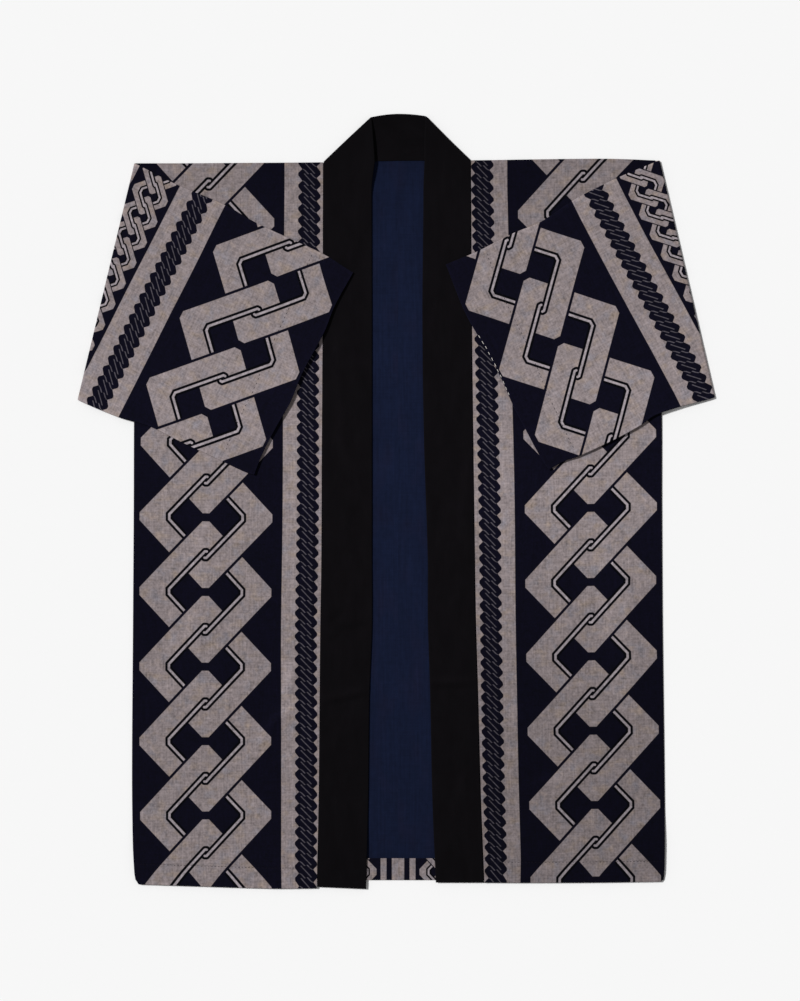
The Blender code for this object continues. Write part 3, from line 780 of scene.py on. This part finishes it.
def collar_stations():
    """Stations of the strip from hem to hem: its side, and the distances along its seam and free edges.

    They slant to lie along the mitre fold.
    """
    inset = COLLAR_FOLD_HEIGHT * ROOT_TWO
    reach = (COLLAR_ARC / 2 - COLLAR_FOLD_HEIGHT) * ROOT_TWO * 2
    neck = stations(0.0, NECK_HALF - inset)
    bend = NECK_HALF - inset + COLLAR_ARC * ROOT_TWO * np.linspace(0, 1, BEND_STEPS + 1)[1:]
    leg_end = FRONT_LENGTH - np.array(EDGE_STATIONS + LEG_END_STATIONS)
    down = joined(stations(COLLAR_LEG_START, FRONT_LENGTH), leg_end)
    slant = 1 - ease(down / MITRE_END)
    seam = np.concatenate([neck, bend, NECK_HALF + reach + down])
    free = np.concatenate([
        np.linspace(0, neck[-1] - COLLAR_WIDTH, len(neck)),
        bend - COLLAR_WIDTH,
        NECK_HALF + reach + down - COLLAR_WIDTH * slant,
    ])
    sign = np.concatenate([-np.ones(len(seam) - 1), np.ones(len(seam))])
    return sign, np.concatenate([seam[:0:-1], seam]), np.concatenate([free[:0:-1], free])


def collar_point(sign, seam, free, share, depth):
    """Points of the collar, from its station, the share across it and the height in the doubled strip."""
    x, y = between(seam, free, share), COLLAR_WIDTH * share
    past = (x + y - NECK_HALF) / ROOT_TWO + COLLAR_FOLD_HEIGHT
    moved, z = fold_over(past, depth, COLLAR_FOLD_HEIGHT, COLLAR_BEND)
    x, y = x + (moved - past) / ROOT_TWO, y + (moved - past) / ROOT_TWO
    down = np.maximum(-y, 0.0)
    on_leg = past > COLLAR_ARC / 2
    across = (NECK_HALF - x) / COLLAR_WIDTH
    left = sign < 0

    def sided(pair):
        return np.where(left, *pair)

    def edge(name):
        return sided(value(COLLAR_LEGS, down, side + name) for side in ("left_", "right_"))

    leg_x = between(edge("seam") - SEAM, edge("free"), across)
    leg_z = z - COLLAR_NECK_DROP * ease(down / NECK_DROP_LENGTH)
    leg_z = leg_z + COLLAR_HEM_RISE * rise(down, *HEM_RAMP)
    length = (sided(COLLAR_LEG_LENGTH) + sided(COLLAR_LEG_SLANT) * across) / FRONT_LENGTH
    leg_y = np.where(y < 0, y * between(1, length, ease(down / FRONT_LENGTH)), y)
    leg_z = leg_z + relief(COLLAR_CREASES, sign * leg_x, leg_y) * ease(down / NECK_DROP_LENGTH)
    up = np.clip(y / COLLAR_WIDTH, 0, 1)
    puff = sided(NECK_PUFF) * bell(y - NECK_PUFF_MIDDLE, NECK_PUFF_REACH, 4)
    leg_z = leg_z + puff * rise(across, NECK_PUFF_START, 1) * (1 - up**4)
    x = np.where(on_leg, leg_x + sided(NECK_LEAN) * up, x + sign * NECK_SHIFT)
    y, z = np.where(on_leg, leg_y, y), np.where(on_leg, leg_z, z)
    y = np.where(y > 0, y * BACK_NECK_HEIGHT / COLLAR_WIDTH, y)
    to_corner = np.clip(x / NECK_TOP_HALF, 0, 1)
    x = x + sided(NECK_CORNER_OUT) * up**2 * to_corner
    y = y + up**2 * (NECK_CROWN - NECK_CORNER_DROP * to_corner**2)
    y = y + sided(shoulder_rise(x, side, -y) for side in SIGN)
    return np.stack([sign * x, y, z], -1)


def collar_band():
    """The collar: one strip up the left front edge, round the back neck and down the right front edge."""
    sign, seam, free = (row[:, None] for row in collar_stations())
    near_edge = np.array(EDGE_STATIONS) / COLLAR_WIDTH
    middle = stations(near_edge[-1], 1 - near_edge[-1], GRID / COLLAR_WIDTH)
    share = joined(near_edge, middle, 1 - near_edge)[None, :]
    from_edge = np.minimum(share, 1 - share) * COLLAR_WIDTH
    from_edge = np.minimum(from_edge, np.max(seam) - seam)
    fullness = between(COLLAR_EDGE_SHARE, 1.0, half_round(from_edge, COLLAR_ROUND))
    outside, inside = (
        collar_point(sign, seam, free, share, COLLAR_CLOTH / 2 * (1 + way * fullness)) for way in (-1, 1)
    )
    cut = np.stack(np.broadcast_arrays((share - 0.5) * COLLAR_WIDTH, sign * seam), -1)
    # Painted light and shade down the collar and along its creases, with wear along its edges
    creases = relief(COLLAR_CREASES, outside[..., 0], outside[..., 1])
    tone = painted_light_and_wear(COLLAR_PAINTED_LIGHT, -outside[..., 1], "left", from_edge, creases)
    return shell("cloth_collar", outside, inside, cut, tone)


def stitches(name, rows):
    """Stitches as one piece: short tubes along paths on the cloth, with their ends sunk into it.

    Each row is a path's points, its stitch and which way is out of the cloth, 1 up or -1 down.
    """
    points, faces = [], []
    turns = np.radians(np.arange(STITCH_SIDES) * 360 / STITCH_SIDES)
    rings = len(STITCH_RISE)
    corners = np.arange(rings * STITCH_SIDES).reshape(rings, STITCH_SIDES)
    after = np.roll(corners, -1, 1)
    walls = np.stack([corners[:-1], after[:-1], after[1:], corners[1:]], -1).reshape(-1, 4)
    tube = [*walls, corners[0, ::-1], corners[-1]]
    for path, stitch, way in rows:
        steps = np.linalg.norm(np.diff(path, axis=0), axis=1)
        at = np.concatenate([[0], np.cumsum(steps)])
        for number in range(int(at[-1] / stitch.pitch)):
            by_start, by_length, aside = (math.sin(number * turn) for turn in STITCH_TURNS)
            start = number * stitch.pitch + by_start * STITCH_WANDER
            along = start + np.linspace(0, stitch.length, rings) * (1 + STITCH_UNEVEN * by_length)
            middle = np.stack([np.interp(along, at, path[:, axis]) for axis in range(3)], -1)
            direction = (middle[-1] - middle[0]) / np.linalg.norm(middle[-1] - middle[0])
            out = np.array([0, 0, float(way)])
            side = np.cross(out, direction)
            height = np.array(STITCH_RISE) * stitch.proud - stitch.radius
            centre = middle + side * aside * STITCH_WANDER + height[:, None] * out
            ring = side * np.cos(turns)[:, None] + out * np.sin(turns)[:, None]
            faces.extend((face + len(points)).tolist() for face in tube)
            points.extend((centre[:, None] + ring[None] * stitch.radius).reshape(-1, 3).tolist())
    mesh = bpy.data.meshes.new(name)
    mesh.from_pydata(points, [], faces)
    mesh.shade_smooth()
    return added(name, mesh)


def hem_path(side, place):
    """Points along a hem line of a panel, from the side to the collar's seam or the back's middle."""
    start, at_collar, at_centre = HEM_PATH
    share = np.linspace(start, at_collar if place > SHOULDER else at_centre, PATH_POINTS)
    return panel_point(side, place, share, 0.0)


def cuff_path(side, from_cuff, ends=CUFF_PATH):
    """Points along a line across a sleeve's upper wall, this far from its cuff."""
    row = sleeve_columns(side)
    at = row[0][-1] - from_cuff
    row = [np.interp(at, row[0], column) for column in row]
    return sleeve_point(side, row, np.linspace(*ends, PATH_POINTS), -math.pi / 2, 0.0)


def collar_path(way):
    """Points along the seam edge of one leg of the collar."""
    sign, seam, free = collar_stations()
    leg = (sign == way) & (seam > NECK_HALF + COLLAR_STITCH_START)
    return collar_point(sign[leg], seam[leg], free[leg], COLLAR_STITCH_SHARE, 0.0)


def all_stitches():
    """The threads that show: their piece, material and rows."""
    front = FRONT_START + FRONT_LENGTH - FRONT_TURN_UP
    back = -(BACK_LENGTH - BACK_TURN_UP)
    hems = [(hem_path(side, front), HEM_STITCH, 1) for side in SIGN]
    hems += [(hem_path(side, back), BACK_HEM_STITCH, -1) for side in SIGN]
    cuffs = [(cuff_path(side, getattr(CUFF_HEM, side)), CUFF_STITCH, 1) for side in SIGN]
    basting = [(cuff_path("right", CUFF_BASTING_INSET, CUFF_BASTING), BASTING, 1)]
    collar = [(collar_path(way), COLLAR_STITCH, 1) for way in (-1, 1)]
    return {
        "hem_stitches": (hems + cuffs, HEM_THREAD),
        "cuff_basting": (basting, WHITE_THREAD),
        "collar_stitches": (collar, BLACK_THREAD_COLOUR),
    }


def fill(node, inputs):
    """Joins a node's inputs to fields or sockets, or sets them to numbers or colours."""
    for key, item in inputs.items():
        item = getattr(item, "socket", item)
        if isinstance(item, bpy.types.NodeSocket):
            node.id_data.links.new(item, node.inputs[key])
        else:
            node.inputs[key].default_value = item


def add_node(tree, kind, inputs, **settings):
    node = tree.nodes.new("ShaderNode" + kind)
    for name, setting in settings.items():
        setattr(node, name, setting)
    fill(node, inputs)
    return node


class Field:
    """A number worked out at every point of a surface, as a socket in a material's node tree."""

    def __init__(self, socket):
        self.socket, self.tree = socket, socket.id_data

    def math(self, operation, *others):
        inputs = dict(enumerate((self, *others)))
        return Field(add_node(self.tree, "Math", inputs, operation=operation).outputs[0])

    __add__ = partialmethod(math, "ADD")
    __sub__ = partialmethod(math, "SUBTRACT")
    __mul__ = partialmethod(math, "MULTIPLY")
    __neg__ = partialmethod(math, "MULTIPLY", -1)
    __mod__ = partialmethod(math, "FLOORED_MODULO")
    __abs__ = partialmethod(math, "ABSOLUTE")

    def least(self, *others):
        """The smallest of several: their union, where each is a distance that is negative inside."""
        return reduce(lambda field, other: field.math("MINIMUM", other), others, self)

    def most(self, *others):
        """The largest of several: where the shapes overlap."""
        return reduce(lambda field, other: field.math("MAXIMUM", other), others, self)

    def ramp(self, low, high, start=0.0, end=1.0):
        """Goes in a straight line from start at low to end at high, and stays level beyond them."""
        inputs = {"Value": self, "From Min": low, "From Max": high, "To Min": start, "To Max": end}
        return Field(add_node(self.tree, "MapRange", inputs).outputs["Result"])

    def filled(self, edge=PRINT_EDGE):
        """1 inside a shape and 0 outside, from the distance to its edge."""
        return self.ramp(edge / 2, -edge / 2)


def chain_shapes(x, y, chain):
    """Distances to the pale shapes of a chain, to its thin lines and to its dark grooves, negative inside.

    x is across the chain and y along it. Each link is a square set on its corner. Its rising sides lie
    over its neighbours' falling sides, and its thin inner line ends in a hook.
    """
    square = 1 / math.hypot(1, chain.slope)  # from a distance across to one square to the sides
    hook_y = (chain.line - chain.hook_out) / chain.slope
    y = y % chain.pitch
    under, under_lines, over_strips, over_lines, over_grooves, under_grooves = [], [], [], [], [], []
    for link_x, link_y in ((x, y), (-x, -y + chain.pitch)):
        rising, falling = link_x + link_y * chain.slope, link_x - link_y * chain.slope
        across, up = abs(link_x), abs(link_y)
        ring = across + up * chain.slope
        sides = (across - chain.half_width).most(up - chain.half_height)
        outline = ((ring - chain.reach) * square).most(sides)
        from_line = ((ring - chain.line) * square).most(across - chain.line_corner)
        frame = outline.most(-from_line + chain.groove_half)
        cut = (rising - (chain.pitch * chain.slope - chain.reach - chain.gap)) * square
        under.append(cut.most(frame))
        under_lines.append(cut.most(abs(from_line) - chain.line_half))
        under_grooves.append(cut.most(abs(from_line) - chain.groove_half))

        over_strips.append(outline.most((-rising + chain.pitch / 2 * chain.slope) * square))
        start = (-falling + (chain.hook_out - hook_y * chain.slope)) * square
        from_line = abs(((rising - chain.line) * square).most(link_x - chain.line_corner))
        from_line = from_line.most((-rising + chain.line / 2) * square + chain.line_half)
        beyond = link_x - link_x.most(-chain.hook_end).least(chain.hook_out)
        hook = (beyond * beyond + (link_y - hook_y) * (link_y - hook_y)).math("SQRT")
        for found, half in ((over_lines, chain.line_half), (over_grooves, chain.groove_half)):
            found.append((hook - half).least(start.most(from_line - half)))
    groove = over_grooves[0].least(over_grooves[1])
    strips = over_strips[0].least(over_strips[1]).most(-groove)
    lines = over_lines[0].least(over_lines[1], *under_lines)
    return strips.least(*under, lines), lines, groove.least(*under_grooves)


def follow(field, path):
    """The first column of a path, a field that goes through it as the second column grows."""
    followed = field * 0 + path[0][0]
    for (x0, y0), (x1, y1) in zip(path, path[1:]):
        followed = followed + field.ramp(y0, y1, 0.0, x1 - x0)
    return followed


def braid_shapes(x, y):
    """Distances to the dark braid and to the thin pale lines between its strands."""
    sides, lines = [], []
    for near_x, near_y in ((x, y - BRAID_TIP), (-x, -y + BRAID_TIP + BRAID_TURN)):
        sides.append(-near_x - follow(near_y % BRAID_PITCH, BRAID_SIDE))
        for path, half in ((BRAID_LONG_LINE, BRAID_LONG_HALF), (BRAID_SHORT_LINE, BRAID_SHORT_HALF)):
            top, bottom = path[0][1], path[-1][1]
            along = (near_y - top) % BRAID_PITCH + top
            line = abs(near_x - follow(along, path)) * BRAID_LINE_SQUARE
            lines.append((line - half).most(along - bottom))
    return sides[0].most(sides[1]), lines[0].least(*lines[1:])


class Cloth:
    """A cloth material in the making, with the place on the flat cut in millimetres."""

    def __init__(self, name):
        self.material = bpy.data.materials.new(name)
        self.material.use_nodes = True
        self.tree = self.material.node_tree
        place = add_node(self.tree, "UVMap", {}, uv_map=CUT_MAP).outputs[0]
        split = add_node(self.tree, "SeparateXYZ", {0: place})
        # The pieces' painted light and shade, with their edge wear, read from their point attribute
        self.tone = Field(add_node(self.tree, "Attribute", {}, attribute_name=LIGHT_AND_WEAR_ATTRIBUTE).outputs["Fac"])
        self.u, self.v = (Field(split.outputs[axis]) * 1000 for axis in (0, 1))

    def noise(self, u_size, v_size, seed, detail=2.0):
        """Smooth variation about 0, about -1 to 1, with patches of about these sizes in millimetres."""
        inputs = {0: self.u * (1 / u_size), 1: self.v * (1 / v_size), 2: seed}
        place = add_node(self.tree, "CombineXYZ", inputs).outputs[0]
        inputs = {"Vector": place, "Scale": 1.0, "Detail": detail}
        return (Field(add_node(self.tree, "TexNoise", inputs).outputs[0]) - 0.5) * NOISE_SPREAD

    def mottle(self, patches):
        """The sum of several kinds of patches."""
        kinds = [self.noise(*patch[:3]) * patch[3] for patch in patches]
        return reduce(lambda field, other: field + other, kinds)

    def weave(self, thread):
        """Height of a plain weave, -1 to 1."""
        warp = (self.u * (math.pi / thread)).math("SINE")
        return warp * (self.v * (math.pi / thread)).math("SINE")

    def slubs(self, thread, seed):
        """Thicker places in single threads both ways, 0 to 1."""
        width, length = (thread * size for size in SLUB_SIZE)
        along_v = self.noise(width, length, seed, 1.0).ramp(*SLUB_NOISE)
        return along_v.most(self.noise(length, width, seed + 7, 1.0).ramp(*SLUB_NOISE))

    def mix(self, share, low, high):
        """A colour between two others, each a colour or another mix."""
        low, high = ((*colour, 1.0) if isinstance(colour, tuple) else colour for colour in (low, high))
        return add_node(self.tree, "Mix", {"Factor": share, 6: low, 7: high}, data_type="RGBA").outputs[2]

    def patchy(self, patches, low, high):
        """One colour with patches of another."""
        return self.mix(self.noise(*patches[:3]).ramp(*patches[3:]), low, high)

    def shade(self, colour, strength):
        """A colour scaled by the pieces' painted light and shade and edge wear, made lighter or darker by a
        field about 0.
        """
        inputs = {0: colour, "Scale": (strength + 1.0) * self.tone}
        return add_node(self.tree, "VectorMath", inputs, operation="SCALE").outputs[0]

    def finish(self, colour, roughness, height, depth):
        """Sets the shader's colour, roughness and bump. depth is the bump's full height in metres."""
        bump = add_node(self.tree, "Bump", {"Strength": 1.0, "Distance": depth, "Height": height})
        fill(self.tree.nodes["Principled BSDF"], {
            "Base Color": colour, "Roughness": roughness, "Normal": bump.outputs[0],
            "Specular IOR Level": SPECULAR, "Sheen Weight": SHEEN, "Sheen Roughness": SHEEN_ROUGHNESS,
        })
        return self.material


def printed_cloth():
    """The outer face: navy and beige slub cotton, with chains, stripes and a braid."""
    cloth = Cloth("printed_slub_cotton")
    big, big_line, big_groove = chain_shapes(cloth.u, cloth.v, BIG_CHAIN)
    small, small_line, small_groove = chain_shapes(
        -(cloth.u - SMALL_CHAIN_MIDDLE), cloth.v - SMALL_CHAIN_OFFSET, SMALL_CHAIN
    )
    braid, strands = braid_shapes(cloth.u - BRAID_MIDDLE, cloth.v)
    stripes = [abs(cloth.u - (low + high) / 2) - (high - low) / 2 for low, high in STRIPES]
    stripes[0] = stripes[0].most(-braid)
    pale = big.least(small, *stripes).filled()
    groove = big_groove.least(small_groove).filled()
    threads = strands.most(braid).filled(STRAND_EDGE)

    weave, slubs = cloth.weave(THREAD), cloth.slubs(*PRINTED_SLUBS)
    mottle = cloth.mottle(PRINTED_MOTTLE)
    dark = cloth.mix(groove, NAVY, GROOVE)
    dark = cloth.mix(threads, dark, STRAND)
    beige = cloth.patchy(COOL_PATCHES, BEIGE, BEIGE_COOL)
    beige = cloth.patchy(WARM_PATCHES, beige, BEIGE_WARM)
    beige = cloth.mix(slubs * SLUB_SHARE, beige, SLUB)
    beige = cloth.mix(big_line.least(small_line).filled(), beige, LINE)
    colour = cloth.shade(cloth.mix(pale, dark, beige), mottle + weave * PRINTED_WEAVE_SHADE)
    height = weave * WEAVE_HEIGHT + slubs * SLUB_HEIGHT + cloth.mottle(CRUMPLE)
    return cloth.finish(colour, mottle * PRINTED_UNEVEN + COTTON_ROUGHNESS, height, WEAVE_DEPTH)


def plain_cloth():
    """The inner face: unprinted indigo, streaked by its slub threads."""
    cloth = Cloth("indigo_slub_cotton")
    weave, slubs = cloth.weave(THREAD), cloth.slubs(*INDIGO_SLUBS)
    mottle = cloth.mottle(INDIGO_MOTTLE)
    colour = cloth.patchy(INDIGO_PATCHES, INDIGO, INDIGO_WARM)
    colour = cloth.mix(slubs * INDIGO_SLUB_SHARE, colour, INDIGO_SLUB)
    colour = cloth.shade(colour, mottle + weave * WEAVE_SHADE)
    height = weave * WEAVE_HEIGHT + slubs * SLUB_HEIGHT
    return cloth.finish(colour, mottle * PLAIN_UNEVEN + COTTON_ROUGHNESS, height, WEAVE_DEPTH)


def black_cloth():
    """The collar's closely woven black cotton."""
    cloth = Cloth("black_cotton")
    weave, mottle = cloth.weave(BLACK_THREAD), cloth.mottle(BLACK_MOTTLE)
    colour = cloth.shade(cloth.patchy(WORN_PATCHES, BLACK, BLACK_WORN), mottle + weave * WEAVE_SHADE)
    return cloth.finish(colour, mottle * PLAIN_UNEVEN + BLACK_ROUGHNESS, weave, BLACK_WEAVE_DEPTH)


def plain(name, colour):
    """A matt material of one colour."""
    made = bpy.data.materials.new(name)
    made.use_nodes = True
    inputs = {"Base Color": (*colour, 1), "Roughness": MATT, "Specular IOR Level": SPECULAR}
    fill(made.node_tree.nodes["Principled BSDF"], inputs)
    return made


def thread(name, colour):
    """Cotton sewing thread: matt, with a faint twist."""
    made = plain(name, colour)
    tree = made.node_tree
    place = add_node(tree, "TexCoord", {}).outputs["Object"]
    twist = add_node(tree, "TexNoise", {"Scale": THREAD_TWIST, "Vector": place}).outputs[0]
    dark, light = ((*(part * share for part in colour), 1) for share in THREAD_SHADES)
    shade = add_node(tree, "Mix", {"Factor": twist, 6: dark, 7: light}, data_type="RGBA").outputs[2]
    bump = add_node(tree, "Bump", {"Distance": TWIST_DEPTH, "Height": twist}).outputs[0]
    fill(tree.nodes["Principled BSDF"], {"Base Color": shade, "Normal": bump})
    return made


def centre_on_frame(pieces, frame_box):
    """Moves the pieces from the layout's axes to the frame's, where their solids are."""
    cloud = np.array([vertex.co for piece in pieces for vertex in piece.data.vertices])
    frame_low, frame_high = (np.array(corner) for corner in frame_box)
    shift = (frame_low + frame_high - cloud.min(0) - cloud.max(0)) / 2
    shift[2] = frame_low[2] - cloud[:, 2].min()
    for piece in pieces:
        piece.data.transform(Matrix.Translation(shift))
    return shift


def add_camera():
    data = bpy.data.cameras.new("camera")
    data.sensor_width = SENSOR
    data.lens = SENSOR * CAMERA_HEIGHT / VIEW_LENGTH
    data.clip_end = CAMERA_REACH
    camera = added("camera", data)
    camera.location = (*VIEW_CENTRE, CAMERA_HEIGHT)
    bpy.context.scene.camera = camera


def add_light():
    """One wide soft light from beyond the left shoulder, the same everywhere on the floor."""
    data = bpy.data.lights.new("key", "SUN")
    data.energy, data.angle = KEY_STRENGTH, math.radians(KEY_SPREAD)
    added("key", data).rotation_euler = (-Vector(KEY_FROM)).to_track_quat("-Z", "Y").to_euler()


def add_surroundings():
    world = bpy.data.worlds.new("studio")
    world.use_nodes = True
    fill(world.node_tree.nodes["Background"], {"Color": (1, 1, 1, 1), "Strength": AMBIENT})
    bpy.context.scene.world = world
    mesh = bpy.data.meshes.new("floor")
    half = FLOOR_SIZE / 2
    corners = [(x, y, -FLOOR_GAP) for x, y in ((-half, -half), (half, -half), (half, half), (-half, half))]
    mesh.from_pydata(corners, [], [(0, 1, 2, 3)])
    mesh.materials.append(plain("pale_floor", FLOOR_COLOUR))
    floor = added("floor", mesh)


def main():
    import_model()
    frame_box = [list(corner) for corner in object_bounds()]
    cloth = {}
    for side in SIGN:
        cloth[side + "_body"] = body_panel(side)
        cloth[side + "_sleeve"] = sleeve_tube(side)
    collar = collar_band()
    pieces = list(cloth.values()) + [collar]
    shift = centre_on_frame(pieces, frame_box)
    for name, (rows, colour) in all_stitches().items():
        threads = stitches(name, rows)
        threads.data.transform(Matrix.Translation(shift))
        threads.data.materials.append(thread(name, colour))
        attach(threads, "root")
    outer, inner, black = printed_cloth(), plain_cloth(), black_cloth()
    for piece in pieces:
        faces = (black, black) if piece is collar else (outer, inner)
        for face in faces:
            piece.data.materials.append(face)
        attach(piece, "root")
    for side in SIGN:
        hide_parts("body_" + side)
        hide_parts("sleeve_" + side)
    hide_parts("collar")
    add_camera()
    add_surroundings()
    add_light()
    bpy.context.scene.view_settings.view_transform = "Standard"


main()
